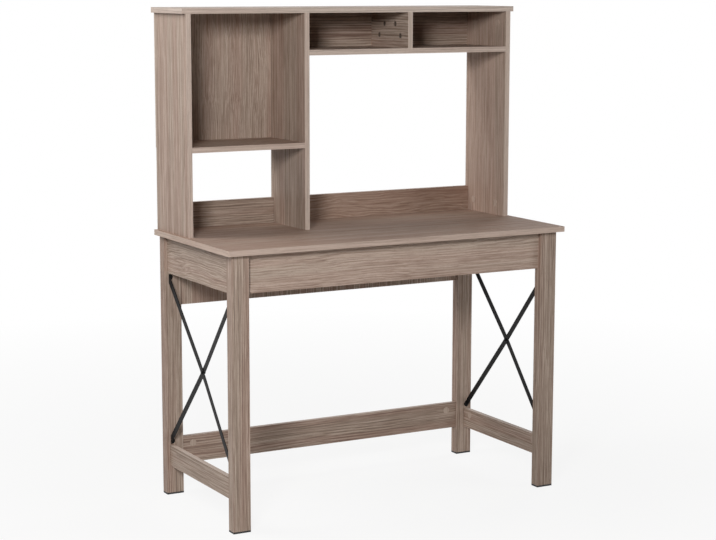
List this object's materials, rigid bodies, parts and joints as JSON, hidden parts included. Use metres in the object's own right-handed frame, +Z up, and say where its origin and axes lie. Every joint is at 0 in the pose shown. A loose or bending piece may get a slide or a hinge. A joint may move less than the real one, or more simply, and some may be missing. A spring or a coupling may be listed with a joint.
{
  "type": "desk with bookcase",
  "caption": "Writing desk with a low bookcase on its top, grey-brown wood-grain boards on post legs with flat black cross braces at the sides.",
  "frame": {"origin": "on the floor, under the middle of the whole object's width and depth", "axes": "+Z up, +Y towards the back, +X to the right as seen from the front"},
  "size_m": [1.05, 0.4938, 1.375],
  "materials": {
    "board_laminate": "matt grey-brown wood-grain laminate on board",
    "panel_laminate": "matt grey-brown wood-grain laminate on thin board",
    "cover_film": "matt wood-tone covers",
    "black_steel": "satin black powder coat",
    "black_plastic": "matt black",
    "cam_zinc": "dark die-cast zinc",
    "zinc_steel": "zinc-plated steel",
    "beech": "plain beech"
  },
  "bodies": {
    "root": {"brace_bolts": "black_steel", "brace_nuts": "black_steel", "brace_screws": "black_steel", "desk_cam_bolts": "zinc_steel", "desk_cam_covers": "cover_film", "desk_cam_locks": "cam_zinc", "desk_dowels": "beech", "desktop": "board_laminate", "foot_screws": "zinc_steel", "front_apron": "board_laminate", "front_left_foot_pad": "black_plastic", "front_left_leg": "board_laminate", "front_right_foot_pad": "black_plastic", "front_right_leg": "board_laminate", "hutch_cam_bolts": "zinc_steel", "hutch_cam_covers": "cover_film", "hutch_cam_locks": "cam_zinc", "hutch_divider": "board_laminate", "hutch_dowels": "beech", "hutch_left_side": "board_laminate", "hutch_right_side": "board_laminate", "hutch_top": "board_laminate", "left_back_board": "board_laminate", "left_back_panel": "panel_laminate", "left_brace_bar_back_high": "black_steel", "left_brace_bar_front_high": "black_steel", "left_side_apron": "board_laminate", "left_side_stretcher": "board_laminate", "middle_shelf": "board_laminate", "panel_nails": "zinc_steel", "rear_left_foot_pad": "black_plastic", "rear_left_leg": "board_laminate", "rear_panel": "board_laminate", "rear_right_foot_pad": "black_plastic", "rear_right_leg": "board_laminate", "rear_stretcher": "board_laminate", "right_back_board": "board_laminate", "right_back_panel": "panel_laminate", "right_brace_bar_back_high": "black_steel", "right_brace_bar_front_high": "black_steel", "right_side_apron": "board_laminate", "right_side_stretcher": "board_laminate", "short_divider": "board_laminate", "upper_shelf": "board_laminate"}
  },
  "joints": []
}
